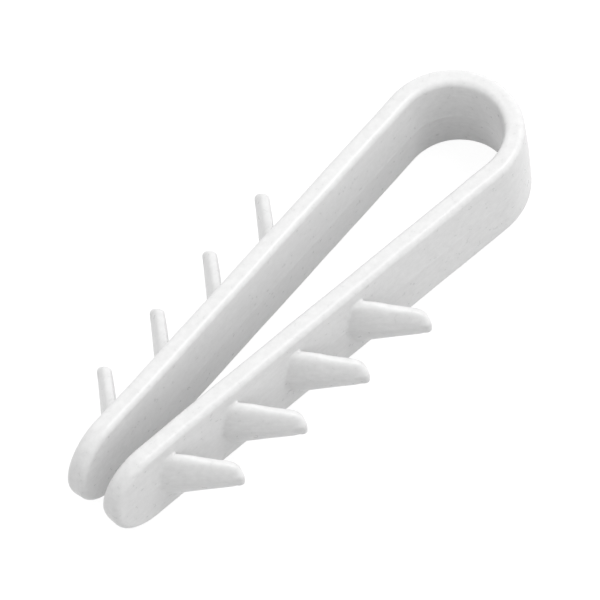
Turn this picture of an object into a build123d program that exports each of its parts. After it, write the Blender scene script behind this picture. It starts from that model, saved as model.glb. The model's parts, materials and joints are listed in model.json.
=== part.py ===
"""Wall anchor: a moulded plastic strip bent into a cable loop, with four barbs on each leg.

The strip stands on its narrow edge. The bow closes round the cable, and the two legs are
pressed together and pushed into a drilled hole, where the barbs fold back and grip.
The origin is the centre of the cable loop at mid-width: +X points to the closed end of the
bow, the leg tips point to -X, +Y is the left leg's side and +Z runs along the cable.
"""

import os
from math import cos, degrees, radians, sin, tan

from build123d import *

# Driving dimensions, in millimetres and degrees
strip_width = 5.84         # across the strip, along the cable
strip_thickness = 1.18
bow_inner_radius = 3.0     # the cable's seat
leg_length = 29.2          # from the end of the bow to the leg tip
leg_lean = 4.6             # each leg leans in towards the other
edge_round = 0.3           # soft moulded edge of the strip

barb_count = 4             # on each leg
tip_to_first_barb = 3.9    # leg tip to the middle of the first barb's root
barb_pitch = 4.67
barb_angle = 44.5          # between a barb and its leg, open towards the bow
barb_length = 4.22         # along the blade's middle line, from the leg
barb_root_thickness = 0.92
barb_tip_thickness = 0.84
barb_end_slant = 27.0      # the blade's end face leans back towards the leg
barb_tip_radius = 1.12     # the round end of the blade, seen square to it
barb_taper = 12.5          # between each side edge of the blade and its middle line
barb_edge_round = 0.22
heel_round = 0.3           # the corner that a barb rolls on as it folds towards the leg

# Running clearances at the places where the moulding flexes
knuckle_clearance = 0.03
root_clearance = 0.02
cup_lip = 0.37             # how far the bow's ends stop short of the leg's full round

# Derived sizes
bow_outer_radius = bow_inner_radius + strip_thickness
mid_radius = bow_inner_radius + strip_thickness / 2
knuckle_radius = strip_thickness / 2
half_width = strip_width / 2
reach = 2 * leg_length     # longer than anything that is trimmed

LEFT, RIGHT = 1, -1
SIDES = {LEFT: "left", RIGHT: "right"}


def leg_frame(side, distance=0.0, offset=0.0):
    """A plane whose x runs along a leg to its tip and whose y points outwards.

    distance is measured from the end of the bow and offset from the strip's middle.
    """
    lean = radians(leg_lean)
    along = Vector(-cos(lean), -side * sin(lean), 0)
    outward = Vector(-sin(lean), side * cos(lean), 0)
    origin = outward * (mid_radius + offset) + along * distance
    return Plane(origin=origin, x_dir=along, z_dir=(0, 0, -side))


def side_frame(frame):
    """The plane square to a leg frame that holds its x direction and the cable's direction."""
    return Plane(origin=frame.origin, x_dir=frame.x_dir, z_dir=frame.y_dir)


# Bow: the closed end of the strip, with a cup at each end for the leg's full round
bow_half_sweep = 90 + leg_lean - degrees(cup_lip / mid_radius)
with BuildPart() as bow:
    with BuildSketch():
        with BuildLine():
            inner = CenterArc((0, 0), bow_inner_radius, -bow_half_sweep, 2 * bow_half_sweep)
            outer = CenterArc((0, 0), bow_outer_radius, -bow_half_sweep, 2 * bow_half_sweep)
            Line(inner @ 0, outer @ 0)
            Line(inner @ 1, outer @ 1)
        make_face()
    extrude(amount=half_width, both=True)
    fillet(bow.edges().filter_by(GeomType.CIRCLE), radius=edge_round)
    with BuildSketch():
        for side in SIDES:
            hinge_point = leg_frame(side).origin
            with Locations((hinge_point.X, hinge_point.Y)):
                Circle(knuckle_radius + knuckle_clearance)
    extrude(amount=strip_width, both=True, mode=Mode.SUBTRACT)
bow.part.label = "bow"


def make_leg(side):
    """One leg: a straight strip with a full round at the bow and a bullet-shaped tip."""
    frame = leg_frame(side)
    with BuildPart() as leg:
        with BuildSketch(frame):
            with BuildLine():
                heel = CenterArc((0, 0), knuckle_radius, 90, 180)
                lower = Line(heel @ 1, (leg_length, -knuckle_radius))
                end = Line(lower @ 1, (leg_length, knuckle_radius))
                Line(end @ 1, heel @ 0)
            make_face()
        extrude(amount=half_width, both=True)
        with BuildSketch(side_frame(frame)):
            with BuildLine():
                top = Line((-reach, half_width), (leg_length - half_width, half_width))
                tip = ThreePointArc(
                    top @ 1, (leg_length, 0), (leg_length - half_width, -half_width)
                )
                bottom = Line(tip @ 1, (-reach, -half_width))
                Line(bottom @ 1, top @ 0)
            make_face()
        extrude(amount=reach, both=True, mode=Mode.INTERSECT)
        flat_faces = leg.faces().filter_by(GeomType.PLANE)
        broad_faces = flat_faces.filter_by(lambda f: abs(f.normal_at().Z) < 0.5)
        rims = broad_faces.edges().filter_by(
            lambda e: e.geom_type == GeomType.CIRCLE or abs((e % 0.5).Z) < 0.5
        )
        ends = leg.edges().filter_by(GeomType.CIRCLE).filter_by(
            lambda e: abs(e.radius - knuckle_radius) < 0.01
        )
        fillet(rims + ends, radius=edge_round)
    leg.part.label = f"{SIDES[side]}_leg"
    return leg.part


def beyond(start, end):
    """A point on the line through two points, well past the second."""
    return tuple(1.5 * b - 0.5 * a for a, b in zip(start, end))


def make_barb(side, index):
    """One barb: a tongue-shaped blade that leans back towards the bow from a flat root."""
    distance = leg_length - tip_to_first_barb - index * barb_pitch
    frame = leg_frame(side, distance, knuckle_radius + root_clearance)
    slope = radians(barb_angle)
    root_half = barb_root_thickness / 2 / sin(slope)
    tip_half = barb_tip_thickness / 2
    blade_plane = Plane(
        origin=frame.origin,
        x_dir=frame.y_dir * sin(slope) - frame.x_dir * cos(slope),
        z_dir=frame.x_dir * sin(slope) + frame.y_dir * cos(slope),
    )

    def at(run, across):
        """A point of the plan, run along the blade and across it towards the leg tip."""
        return (across * sin(slope) - run * cos(slope), run * sin(slope) + across * cos(slope))

    end_step = tip_half * tan(radians(barb_end_slant))
    heel = (-root_half, 0)
    toe = (root_half, 0)
    front_end = at(barb_length + end_step, tip_half)
    back_end = at(barb_length - end_step, -tip_half)
    taper = radians(barb_taper)
    front_run = barb_length + end_step
    end_run = front_run - barb_tip_radius * (1 - sin(taper))
    end_height = barb_tip_radius * cos(taper)
    root_run = -2 * root_half
    root_height = end_height + (end_run - root_run) * tan(taper)

    with BuildPart() as barb:
        with BuildSketch(frame):
            Polygon(heel, toe, beyond(toe, front_end), beyond(heel, back_end), align=None)
        extrude(amount=half_width, both=True)
        with BuildSketch(blade_plane):
            with BuildLine():
                upper = Line((root_run, root_height), (end_run, end_height))
                end = ThreePointArc(upper @ 1, (front_run, 0), (end_run, -end_height))
                lower = Line(end @ 1, (root_run, -root_height))
                Line(lower @ 1, upper @ 0)
            make_face()
        extrude(amount=reach, both=True, mode=Mode.INTERSECT)
        rims = []
        for broad_face in barb.faces().sort_by(SortBy.AREA)[-2:]:
            for edge in broad_face.edges():
                if not (edge.geom_type == GeomType.LINE and abs((edge % 0.5).Z) > 0.99):
                    rims.append(edge)
        fillet(rims, radius=barb_edge_round)
        with BuildSketch(frame) as rolled:
            Polygon(heel, toe, front_end, back_end, align=None)
            fillet(rolled.vertices().sort_by_distance(heel)[0], radius=heel_round)
        extrude(amount=half_width, both=True, mode=Mode.INTERSECT)
    barb.part.label = f"{SIDES[side]}_barb_{index + 1}"
    return barb.part


def hinge_line(side, distance=0.0, offset=0.0):
    """Where a flexing region turns, as x and y: every hinge runs along Z."""
    point = leg_frame(side, distance, offset).origin
    return f"{point.X:.5f} {point.Y:.5f}"


def barb_heel(index):
    """The middle of a barb's heel round, as the distance and offset of a leg frame."""
    slope = radians(barb_angle)
    back = barb_root_thickness / 2 / sin(slope) - heel_round * tan(slope / 2)
    distance = leg_length - tip_to_first_barb - index * barb_pitch - back
    return distance, knuckle_radius + root_clearance + heel_round


pieces = [bow.part]
for side in SIDES:
    pieces.append(make_leg(side))
    print(SIDES[side], "leg hinge", hinge_line(side))
    for index in range(barb_count):
        pieces.append(make_barb(side, index))
        print(SIDES[side], "barb", index + 1, "hinge", hinge_line(side, *barb_heel(index)))

os.makedirs("parts", exist_ok=True)
for piece in pieces:
    export_step(piece, f"parts/{piece.label}.step")
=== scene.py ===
"""A white moulded wall anchor on a glowing white table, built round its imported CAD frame.

Shapes are worked out in millimetres and stored in metres. The strip is measured along its
middle line: s runs from the crown of the bow to a leg tip, n points outwards from the middle of
the strip's thickness, and z runs across its width.
"""

import json
from math import atan2, cos, exp, pi, radians, sin, sqrt, tan

import bmesh
import bpy
import numpy as np
from mathutils import Matrix, Vector


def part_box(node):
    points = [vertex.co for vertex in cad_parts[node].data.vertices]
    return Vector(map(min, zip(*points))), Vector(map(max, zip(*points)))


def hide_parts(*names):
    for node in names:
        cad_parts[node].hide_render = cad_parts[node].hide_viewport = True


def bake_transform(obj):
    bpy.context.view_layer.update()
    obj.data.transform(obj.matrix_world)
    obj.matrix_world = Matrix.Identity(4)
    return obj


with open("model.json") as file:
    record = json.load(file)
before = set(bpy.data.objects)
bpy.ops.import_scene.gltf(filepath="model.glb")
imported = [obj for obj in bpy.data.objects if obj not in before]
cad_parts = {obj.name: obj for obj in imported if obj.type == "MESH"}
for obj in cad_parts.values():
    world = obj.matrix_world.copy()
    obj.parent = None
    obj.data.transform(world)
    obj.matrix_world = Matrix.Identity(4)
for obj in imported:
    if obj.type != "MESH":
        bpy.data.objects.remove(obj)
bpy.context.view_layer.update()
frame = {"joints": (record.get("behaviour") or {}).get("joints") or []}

MM = 0.001
BLOTCHES_PER_METRE = 2600
STREAKS_PER_MM = (0.22, 5.5, 1.2)  # along the strip, across its width and through it
GRAIN_HEIGHT = 0.02 * MM
CARD_DEPTH = 0.05 * MM
SHARP_TURN = 0.6           # radians
SIDES = {"left": 1, "right": -1}

# Sizes taken from the frame, in millimetres
joints = {joint["name"]: joint for joint in frame["joints"]}
bow_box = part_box("bow")
hinge = Vector(joints["left_leg_flex"]["pos_m"]) / MM
BARB_COUNT = sum(name.startswith("left_barb") for name in joints)
HALF_WIDTH = bow_box[1][2] / MM
MID_RADIUS = hinge.xy.length
HALF_THICKNESS = bow_box[1][0] / MM - MID_RADIUS
LEAN = atan2(hinge.y, hinge.x) - pi / 2
FLOOR_Z = bow_box[0][2]

# The strip
LEG_LENGTH = 29.2          # from the end of the bow to the leg tip
EDGE_ROUND = 0.4
INNER_DRAFT = radians(3.8)  # each face is fullest at the parting line halfway up it
OUTER_DRAFT = radians(0.8)
SEAM_HEIGHT = 0.012        # the fine line where the mould's halves meet
SEAM_WIDTH = 0.07
WAVE_HEIGHT = 0.012        # the slight unevenness of a moulded strip
QUICK_SHARE = 0.4          # how strong its quick wave is beside its slow one
OUTER_PHASE = 0.7          # where the wave starts on each face
INNER_PHASE = 2.1
TIP_FLARE = 0.12           # the leg tips turn out by this much over their last stretch
FLARE_LENGTH = 7.0
ARC_LENGTH = MID_RADIUS * (pi / 2 + LEAN)
STRIP_END = ARC_LENGTH + LEG_LENGTH

# The barbs
BARB_ANGLE = radians(44.5)
BARB_LENGTH = 4.22         # along the blade's middle line
BARB_HALF_ROOT = 0.46
BARB_HALF_TIP = 0.42
BARB_END_SLANT = tan(radians(27))
BARB_END_RADIUS = 1.12
BARB_END_FULLNESS = 0.07   # how much its end bulges past its arc, beside the nose
BARB_TAPER = radians(12.5)
TIP_ROUND = 0.4            # the edge of the blade's slanted end, at its nose
BARB_DRAFT = radians(7)    # the front face of the blade is fullest at its middle
BARB_CROWN = 0.82          # the share of the blade's half height that its front rounds take
BARB_FRONT_ROUND = 1.4     # how deep they go, as a share of half the thickness
BARB_BACK_ROUND = 0.16
HEEL_ROUND = 0.3
ROOT_CLEARANCE = 0.02
FILLET_FRONT = 0.15        # how far each root fillet spreads on the leg
FILLET_SIDE = 0.15
FILLET_BACK = 0.12
NOSE_START = 0.6           # the nose is where the end's turn has a cosine above this
ROOT_DEPTH = 0.3           # how far each blade goes on inside its leg
ROOT_SHEAR_END = 2.3       # the blade's rows start off lying along its root, and over
ROOT_SHEAR_FADE = 1.6      # this length, up to that far along, they turn square to it
END_SLANT_START = 1.6      # from here they turn to lie along its slanted end

END_RUN = BARB_LENGTH - BARB_END_RADIUS * (1 - sin(BARB_TAPER))
END_HALF_HEIGHT = BARB_END_RADIUS * cos(BARB_TAPER)


def hypot2(a, b):
    """The length of a step of a one way and b the other."""
    return sqrt(a * a + b * b)


def smooth_step(share):
    """Eases from 0 to 1 as share does, and is level outside."""
    share = min(max(share, 0.0), 1.0)
    return share * share * (3 - 2 * share)


def strip_point(side, s, n, z):
    """A place in the shared frame from its place on the strip, all in millimetres."""
    if s <= ARC_LENGTH:
        turn = s / MID_RADIUS
        radius = MID_RADIUS + n
        return (radius * cos(turn), side * radius * sin(turn), z)
    beyond = s - ARC_LENGTH
    n += TIP_FLARE * max(1 + (s - STRIP_END) / FLARE_LENGTH, 0.0) ** 2
    x = -sin(LEAN) * (MID_RADIUS + n) - cos(LEAN) * beyond
    y = cos(LEAN) * (MID_RADIUS + n) - sin(LEAN) * beyond
    return (x, side * y, z)


def mesh_object(name, points, faces, strip_places):
    """A smooth mesh in metres that remembers where each vertex lies on the strip."""
    mesh = bpy.data.meshes.new(name)
    mesh.from_pydata([Vector(p) * MM for p in points], [], faces)
    places = mesh.attributes.new("strip_place", "FLOAT_VECTOR", "POINT")
    places.data.foreach_set("vector", np.array(strip_places, np.float32).ravel())
    piece = bpy.data.objects.new(name, mesh)
    bpy.context.scene.collection.objects.link(piece)
    shape = bmesh.new()
    shape.from_mesh(mesh)
    bmesh.ops.remove_doubles(shape, verts=shape.verts, dist=1e-8)
    bmesh.ops.dissolve_degenerate(shape, edges=shape.edges, dist=1e-8)
    bmesh.ops.recalc_face_normals(shape, faces=shape.faces)
    shape.to_mesh(mesh)
    shape.free()
    mesh.shade_smooth()
    return piece


def sharpen(piece, chosen=lambda edge: True):
    """Marks an edge as sharp where its two faces turn by a lot, out of those chosen."""
    shape = bmesh.new()
    shape.from_mesh(piece.data)
    for edge in shape.edges:
        if chosen(edge) and len(edge.link_faces) == 2 and edge.calc_face_angle(0) > SHARP_TURN:
            edge.smooth = False
    shape.to_mesh(piece.data)
    shape.free()


def grid_faces(rows, columns):
    """The quads of a grid of vertices, row by row."""
    faces = []
    for row in range(rows - 1):
        for column in range(columns - 1):
            a = row * columns + column
            faces.append((a, a + 1, a + 1 + columns, a + columns))
    return faces


def rounded_profile(flat_shares, arc_steps, flat_steps):
    """Half of a section from mid-width on one face, round an edge, to mid-width on the other.

    Each entry is (kind, value): a share of the flat face, a turn of the edge, or a share of the
    edge's flat between its two rounds.
    """
    profile = [("outer", share) for share in flat_shares]
    profile += [("outer_round", step / arc_steps) for step in range(arc_steps + 1)]
    profile += [("edge", step / flat_steps) for step in range(1, flat_steps)]
    profile += [("inner_round", step / arc_steps) for step in range(arc_steps + 1)]
    profile += [("inner", share) for share in reversed(flat_shares)]
    return profile


def profile_place(entry, half_width, half_thickness, outer_round, inner_round):
    """The distance from mid-width and from mid-thickness of one entry of a profile.

    Each round is how far it reaches along the width and through the thickness.
    """
    kind, value = entry
    if kind == "outer":
        return (half_width - outer_round[0]) * value, half_thickness
    if kind == "inner":
        return (half_width - inner_round[0]) * value, -half_thickness
    outer_side = half_thickness - outer_round[1]
    inner_side = inner_round[1] - half_thickness
    if kind == "edge":
        return half_width, outer_side + (inner_side - outer_side) * value
    turn = value * pi / 2
    if kind == "outer_round":
        across = half_width - outer_round[0] * (1 - sin(turn))
        return across, outer_side + outer_round[1] * cos(turn)
    across = half_width - inner_round[0] * (1 - cos(turn))
    return across, inner_side - inner_round[1] * sin(turn)


def wave(s, z, phase):
    """The slight unevenness of a moulded face, from -1 to 1: a slow wave and a weaker quick one."""
    slow = sin(0.9 * s + phase) * cos(0.7 * z + 2 * phase)
    quick = sin(2.3 * s - 1.1 * z + 3 * phase)
    return (slow + QUICK_SHARE * quick) / (1 + QUICK_SHARE)


def fullness(z, draft):
    """How far a drafted face of the strip stands out at a height from mid-width."""
    return max(HALF_WIDTH - EDGE_ROUND - abs(z), 0.0) * tan(draft)


def seam(z):
    """How far the fine line where the mould's halves meet stands out, at a height."""
    return SEAM_HEIGHT * exp(-((z / SEAM_WIDTH) ** 2))


def strip_stations():
    """Distances along the strip to the middle of the tip's round, finer at the crown and bow."""
    bow_step, leg_step = 0.085, 0.16
    crown = [0.0, 0.01, 0.03, 0.06]
    bow = list(np.arange(0.12, ARC_LENGTH + 1.2, bow_step))
    leg = list(np.arange(bow[-1] + leg_step, STRIP_END - HALF_WIDTH, leg_step))
    return crown + bow + leg + [STRIP_END - HALF_WIDTH]


def half_strip(name, side):
    """One leg with its half of the bow, as lines of vertices that wrap round the tip."""
    shares = [0, 0.008, 0.018, 0.03, 0.05, 0.09, 0.15, 0.24, 0.36, 0.5, 0.64, 0.78, 0.9, 0.97]
    profile = rounded_profile(shares, arc_steps=9, flat_steps=6)
    stations = strip_stations()
    tip_centre = stations[-1]
    tip_steps = 96
    rails = [(s, 0.0, 1.0) for s in stations[:-1]]
    rails += [
        (tip_centre, sin(pi * k / tip_steps), cos(pi * k / tip_steps)) for k in range(tip_steps + 1)
    ]
    rails += [(s, 0.0, -1.0) for s in reversed(stations[:-1])]
    edge = (EDGE_ROUND, EDGE_ROUND)
    points, places = [], []
    for s, forward, across in rails:
        for entry in profile:
            radial, n = profile_place(entry, HALF_WIDTH, HALF_THICKNESS, edge, edge)
            along = s + forward * radial
            z = across * radial
            faced = 1 if n > 0 else -1
            draft = OUTER_DRAFT if faced > 0 else INNER_DRAFT
            share = min(1.0, abs(n) / (HALF_THICKNESS - EDGE_ROUND))
            shift = seam(z) + fullness(z, draft)
            shift += WAVE_HEIGHT * wave(along, z, OUTER_PHASE if faced > 0 else INNER_PHASE)
            points.append(strip_point(side, along, n + faced * shift * share, z))
            places.append((along * side, z, n))
    faces = grid_faces(len(rails), len(profile))
    start = list(range(len(profile)))
    finish = list(range((len(rails) - 1) * len(profile), len(rails) * len(profile)))
    faces.append(tuple(start + finish[::-1]))
    piece = mesh_object(name, points, faces, places)
    sharpen(piece, at_crown)
    return piece


def at_crown(edge):
    """Whether an edge lies in the plane where the two half strips meet."""
    return all(v.co.x > 0 and abs(v.co.y) < 1e-8 for v in edge.verts)


def barb_distance(side_name, index):
    """How far the middle of a barb's root is from the end of the bow, worked out from its hinge."""
    heel = Vector(joints[f"{side_name}_barb_{index}_fold"]["pos_m"]) / MM
    along = hypot2(heel.x - hinge.x, abs(heel.y) - hinge.y)
    offset = HALF_THICKNESS + ROOT_CLEARANCE + HEEL_ROUND
    to_heel = sqrt(along * along - offset * offset)
    return to_heel + BARB_HALF_ROOT / sin(BARB_ANGLE) - HEEL_ROUND * tan(BARB_ANGLE / 2)


def blade_section(entry, run):
    """One entry of a barb's section at a distance along it: its z and its offset."""
    thickness = BARB_HALF_ROOT + (BARB_HALF_TIP - BARB_HALF_ROOT) * run / BARB_LENGTH
    height = END_HALF_HEIGHT + (END_RUN - min(run, END_RUN)) * tan(BARB_TAPER)
    front = (BARB_CROWN * height, BARB_FRONT_ROUND * thickness)
    radial, n = profile_place(entry, height, thickness, front, (BARB_BACK_ROUND, BARB_BACK_ROUND))
    return radial, n - max(n, 0.0) / thickness * radial * tan(BARB_DRAFT)


def root_fillet(outward_x, outward_z, step):
    """How far a root fillet stands out on the leg and up from it, for a step from 0 to 1.

    outward_x and outward_z are the outline's outward normal in the leg's surface.
    """
    spread = FILLET_SIDE
    spread += (FILLET_FRONT - FILLET_SIDE) * max(outward_x, 0) ** 2
    spread += (FILLET_BACK - FILLET_SIDE) * max(-outward_x, 0) ** 2
    lean = -outward_x / tan(BARB_ANGLE)
    lean -= abs(outward_x) * (BARB_HALF_ROOT - BARB_HALF_TIP) / BARB_LENGTH / sin(BARB_ANGLE) ** 2
    lean -= abs(outward_z) * tan(BARB_TAPER) / sin(BARB_ANGLE)
    air_angle = atan2(1, lean)
    radius = spread * tan(air_angle / 2)
    turn = -pi / 2 - step * (pi - air_angle)
    top = spread * sin(air_angle)
    return spread + radius * cos(turn), radius + radius * sin(turn), top


def barb(name, side, distance):
    """A tongue-shaped blade that flows out of its leg through fillets."""
    profile = rounded_profile([0, 0.2, 0.4, 0.6, 0.8], arc_steps=7, flat_steps=2)
    slope_cot = 1 / tan(BARB_ANGLE)
    fillet_steps, blade_steps, tip_steps = 12, 26, 40

    def outline(entry, across):
        """Where an entry's line of the blade meets the leg's surface, as x and z."""
        radial, n = blade_section(entry, 0)
        return n / sin(BARB_ANGLE), across * radial

    def outward(index, across):
        """The root outline's outward normal at an entry, from its neighbours."""
        before = outline(profile[max(index - 1, 0)], across)
        after = outline(profile[min(index + 1, len(profile) - 1)], across)
        if index in (0, len(profile) - 1) or profile[index][0] in ("outer", "inner"):
            return (1.0 if profile[index][0] == "outer" else -1.0), 0.0
        dx, dz = after[0] - before[0], after[1] - before[1]
        length = hypot2(dx, dz)
        normal_x, normal_z = dz / length, -dx / length
        return (normal_x, normal_z) if normal_z * across > 0 else (-normal_x, -normal_z)

    def place(x, height, z):
        """A point from its height over the leg, and its place on the strip.

        At the root it follows the leg's own unevenness, which fades out up the blade.
        """
        s = ARC_LENGTH + distance + x
        surface = HALF_THICKNESS + fullness(z, OUTER_DRAFT)
        surface += WAVE_HEIGHT * wave(s, z, OUTER_PHASE) + seam(z)
        settle = exp(-height)
        n = HALF_THICKNESS + height + (surface - HALF_THICKNESS) * settle
        return strip_point(side, s, n, z), (s * side, z, n)

    def root_rows(across):
        """Rows from inside the leg, out along its surface and up each fillet."""
        rows = []
        for step in [-1.0] + [(k / fillet_steps) ** 1.4 for k in range(fillet_steps)]:
            row = []
            for index, entry in enumerate(profile):
                x0, z0 = outline(entry, across)
                mx, mz = outward(index, across)
                out, up, _ = root_fillet(mx, mz, max(step, 0.0))
                height = up if step >= 0 else -ROOT_DEPTH
                row.append(place(x0 + mx * out, height, z0 + mz * out))
            rows.append(row)
        return rows

    def blade_row(share, across):
        """A row across the blade, from lying along its root to lying along its end."""
        row = []
        for index, entry in enumerate(profile):
            mx, mz = outward(index, across)
            start = root_fillet(mx, mz, 1.0)[2] / sin(BARB_ANGLE)
            run = start + (END_RUN - start) * share
            radial, n = blade_section(entry, run)
            fan = share * share * (END_HALF_HEIGHT - radial) * tan(BARB_TAPER)
            sheared = smooth_step((ROOT_SHEAR_END - run) / ROOT_SHEAR_FADE) * slope_cot
            to_end = smooth_step((run - END_SLANT_START) / (END_RUN - END_SLANT_START))
            slanted = to_end * BARB_END_SLANT
            row.append(blade_place(run - fan + n * (slanted - sheared), n, across * radial))
        return row

    def blade_place(along, n, z):
        """A point from how far it is along the blade and out from its middle."""
        x = n * sin(BARB_ANGLE) - along * cos(BARB_ANGLE)
        return place(x, along * sin(BARB_ANGLE) + n * cos(BARB_ANGLE), z)

    def tip_row(turn):
        """A row round the blade's end, where its crowned front turns to a slanted cut."""
        row = []
        squared = smooth_step((cos(turn) - NOSE_START) / (1 - NOSE_START))
        crown = BARB_CROWN * BARB_END_RADIUS * (1 - squared) + TIP_ROUND * squared
        front = (crown, min(crown, BARB_FRONT_ROUND * BARB_HALF_TIP))
        back = (BARB_BACK_ROUND, BARB_BACK_ROUND)
        for entry in profile:
            _, blade_n = blade_section(entry, END_RUN)
            radial, square_n = profile_place(entry, BARB_END_RADIUS, BARB_HALF_TIP, front, back)
            n = blade_n * (1 - squared) + square_n * squared
            reach = radial * (1 + BARB_END_FULLNESS * sin(pi * turn / start_turn) ** 2)
            along = BARB_LENGTH - BARB_END_RADIUS + reach * cos(turn) + n * BARB_END_SLANT
            row.append(blade_place(along, n, reach * sin(turn)))
        return row

    start_turn = pi / 2 - BARB_TAPER
    rows = root_rows(1)
    rows += [blade_row(k / blade_steps, 1) for k in range(blade_steps)]
    rows += [tip_row(start_turn * (1 - 2 * k / tip_steps)) for k in range(tip_steps + 1)]
    rows += [blade_row(k / blade_steps, -1) for k in reversed(range(blade_steps))]
    rows += root_rows(-1)[::-1]
    points = [point for row in rows for point, _ in row]
    places = [spot for row in rows for _, spot in row]
    columns = len(profile)
    faces = grid_faces(len(rows), columns)
    faces.append(tuple(range(columns)) + tuple(reversed(range(len(points) - columns, len(points)))))
    piece = mesh_object(name, points, faces, places)
    sharpen(piece)
    return piece


def moulded_plastic():
    """White moulded plastic: satin, mottled by flow, with faint streaks along the strip."""
    material = bpy.data.materials.new("moulded_plastic")
    material.use_nodes = True
    tree = material.node_tree
    nodes, links = tree.nodes, tree.links
    shader = nodes["Principled BSDF"]
    shader.inputs["IOR"].default_value = 1.49

    def noise(vector, scale, detail):
        """Noise from 0 to 1, mostly between 0.3 and 0.7."""
        texture = nodes.new("ShaderNodeTexNoise")
        texture.inputs["Scale"].default_value = scale
        texture.inputs["Detail"].default_value = detail
        texture.inputs["Roughness"].default_value = 0.55
        links.new(vector, texture.inputs["Vector"])
        return texture.outputs["Fac"]

    def spread(value, low, high):
        """Turns noise into a measure from low to high."""
        ranged = nodes.new("ShaderNodeMapRange")
        ranged.inputs["From Min"].default_value = 0.3
        ranged.inputs["From Max"].default_value = 0.7
        ranged.inputs["To Min"].default_value = low
        ranged.inputs["To Max"].default_value = high
        links.new(value, ranged.inputs["Value"])
        return ranged.outputs["Result"]

    def combined(operation, first, second):
        result = nodes.new("ShaderNodeMath")
        result.operation = operation
        links.new(first, result.inputs[0])
        links.new(second, result.inputs[1])
        return result.outputs["Value"]

    place = nodes.new("ShaderNodeTexCoord")
    blotches = noise(place.outputs["Object"], BLOTCHES_PER_METRE, 2)
    strip_place = nodes.new("ShaderNodeAttribute")
    strip_place.attribute_name = "strip_place"
    along = nodes.new("ShaderNodeMapping")
    along.inputs["Scale"].default_value = STREAKS_PER_MM
    links.new(strip_place.outputs["Vector"], along.inputs["Vector"])
    streaks = noise(along.outputs["Vector"], 1.0, 3)

    tone = combined("MULTIPLY", spread(blotches, 0.705, 0.76), spread(streaks, 0.982, 1.014))
    links.new(tone, shader.inputs["Base Color"])
    links.new(spread(blotches, 0.27, 0.38), shader.inputs["Roughness"])

    bump = nodes.new("ShaderNodeBump")
    bump.inputs["Strength"].default_value = 0.6
    bump.inputs["Distance"].default_value = GRAIN_HEIGHT
    links.new(combined("ADD", blotches, streaks), bump.inputs["Height"])
    links.new(bump.outputs["Normal"], shader.inputs["Normal"])
    return material


def place_camera():
    """A long lens, high up beyond the leg tips on the right leg's side, aimed at the middle."""
    azimuth, elevation, roll = radians(-39.31), radians(56.85), radians(-8.98)
    distance, lens = 0.6822, 738.0
    aim = Vector((-0.01241, 0.00017, 0.0))
    towards = Vector((sin(azimuth) * cos(elevation), -cos(azimuth) * cos(elevation), sin(elevation)))
    level = Vector((cos(azimuth), sin(azimuth), 0))
    upright = towards.cross(level)
    right = level * cos(roll) + upright * sin(roll)
    up = upright * cos(roll) - level * sin(roll)
    data = bpy.data.cameras.new("camera")
    data.lens = lens
    data.sensor_width = 36
    data.clip_start = 0.01
    data.clip_end = 10
    camera = bpy.data.objects.new("camera", data)
    camera.matrix_world = Matrix.Translation(aim + towards * distance) @ Matrix(
        (right, up, towards)
    ).transposed().to_4x4()
    bpy.context.scene.collection.objects.link(camera)
    bpy.context.scene.camera = camera


def area_light(name, place, aim, size, power):
    """A soft square light at one place, turned towards another."""
    data = bpy.data.lights.new(name, "AREA")
    data.shape = "SQUARE"
    data.size = size
    data.energy = power
    light = bpy.data.objects.new(name, data)
    light.location = place
    light.rotation_euler = (Vector(place) - Vector(aim)).to_track_quat("Z", "Y").to_euler()
    bpy.context.scene.collection.objects.link(light)


def wide_plane(name, height, tone):
    """A matt level plane that isn't part of the object, and its shader."""
    mesh = bpy.data.meshes.new(name)
    reach = 3.0
    corners = [(-reach, -reach), (reach, -reach), (reach, reach), (-reach, reach)]
    mesh.from_pydata([(x, y, height) for x, y in corners], [], [(0, 1, 2, 3)])
    plane = bpy.data.objects.new(name, mesh)
    bpy.context.scene.collection.objects.link(plane)
    material = bpy.data.materials.new(name)
    material.use_nodes = True
    shader = material.node_tree.nodes["Principled BSDF"]
    shader.inputs["Base Color"].default_value = (tone, tone, tone, 1)
    shader.inputs["Roughness"].default_value = 0.9
    shader.inputs["Specular IOR Level"].default_value = 0.0
    mesh.materials.append(material)
    plane.visible_shadow = False
    return plane, shader


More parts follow.
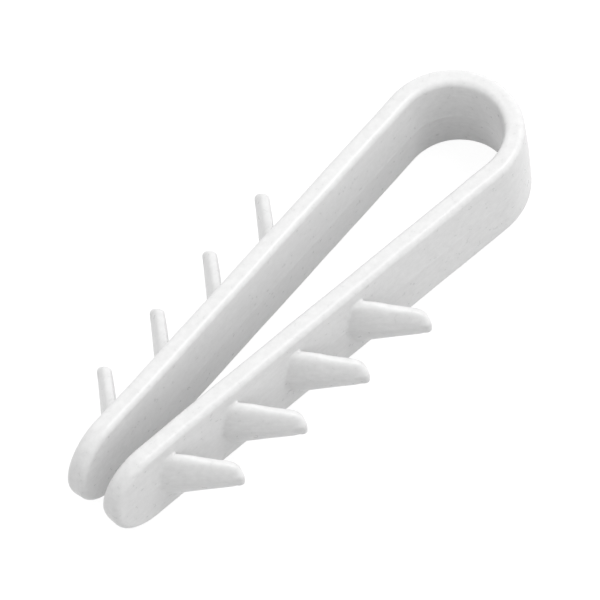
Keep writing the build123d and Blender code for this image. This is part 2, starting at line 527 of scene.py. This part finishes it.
def pale_floor():
    """A glowing white table top, and under it the card that throws light back at the anchor.

    The table's own light reaches only the camera and reflections, and the card's only the
    anchor's shading, so each has the tone that suits its job.
    """
    table, shader = wide_plane("table", FLOOR_Z, 0.18)
    shader.inputs["Emission Color"].default_value = (1, 1, 1, 1)
    shader.inputs["Emission Strength"].default_value = 0.9
    table.visible_diffuse = False
    card, _ = wide_plane("bounce_card", FLOOR_Z - CARD_DEPTH, 0.4)
    card.visible_camera = False
    card.visible_glossy = False


def studio():
    """A white room, brighter towards +X, and one square lamp high up beyond the bow."""
    world = bpy.data.worlds.new("room")
    bpy.context.scene.world = world
    world.use_nodes = True
    nodes, links = world.node_tree.nodes, world.node_tree.links
    direction = nodes.new("ShaderNodeTexCoord")
    parts = nodes.new("ShaderNodeSeparateXYZ")
    glow = nodes.new("ShaderNodeMapRange")
    glow.inputs["From Min"].default_value = -1
    glow.inputs["From Max"].default_value = 1
    glow.inputs["To Min"].default_value = 0.74
    glow.inputs["To Max"].default_value = 1.26
    links.new(direction.outputs["Generated"], parts.inputs["Vector"])
    links.new(parts.outputs["X"], glow.inputs["Value"])
    links.new(glow.outputs["Result"], nodes["Background"].inputs["Strength"])
    nodes["Background"].inputs["Color"].default_value = (1, 1, 1, 1)
    area_light("overhead", (0.2, -0.14, 0.42), (-0.012, 0, 0), 0.18, 0.66)
    bpy.context.scene.view_settings.view_transform = "Standard"


plastic = moulded_plastic()
for side_name, side in SIDES.items():
    strip = half_strip(f"{side_name}_half_strip", side)
    strip.data.materials.append(plastic)
    if side_name == "left":
        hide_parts("left_leg", "bow")
    else:
        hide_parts("right_leg")
    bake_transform(strip)
    for index in range(1, BARB_COUNT + 1):
        node = f"{side_name}_barb_{index}"
        distance = barb_distance(side_name, index)
        blade = barb(f"{node}_blade", side, distance)
        blade.data.materials.append(plastic)
        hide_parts(node)
        root = Vector(strip_point(side, ARC_LENGTH + distance, HALF_THICKNESS, 0)) * MM
        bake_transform(blade)

place_camera()
pale_floor()
studio()
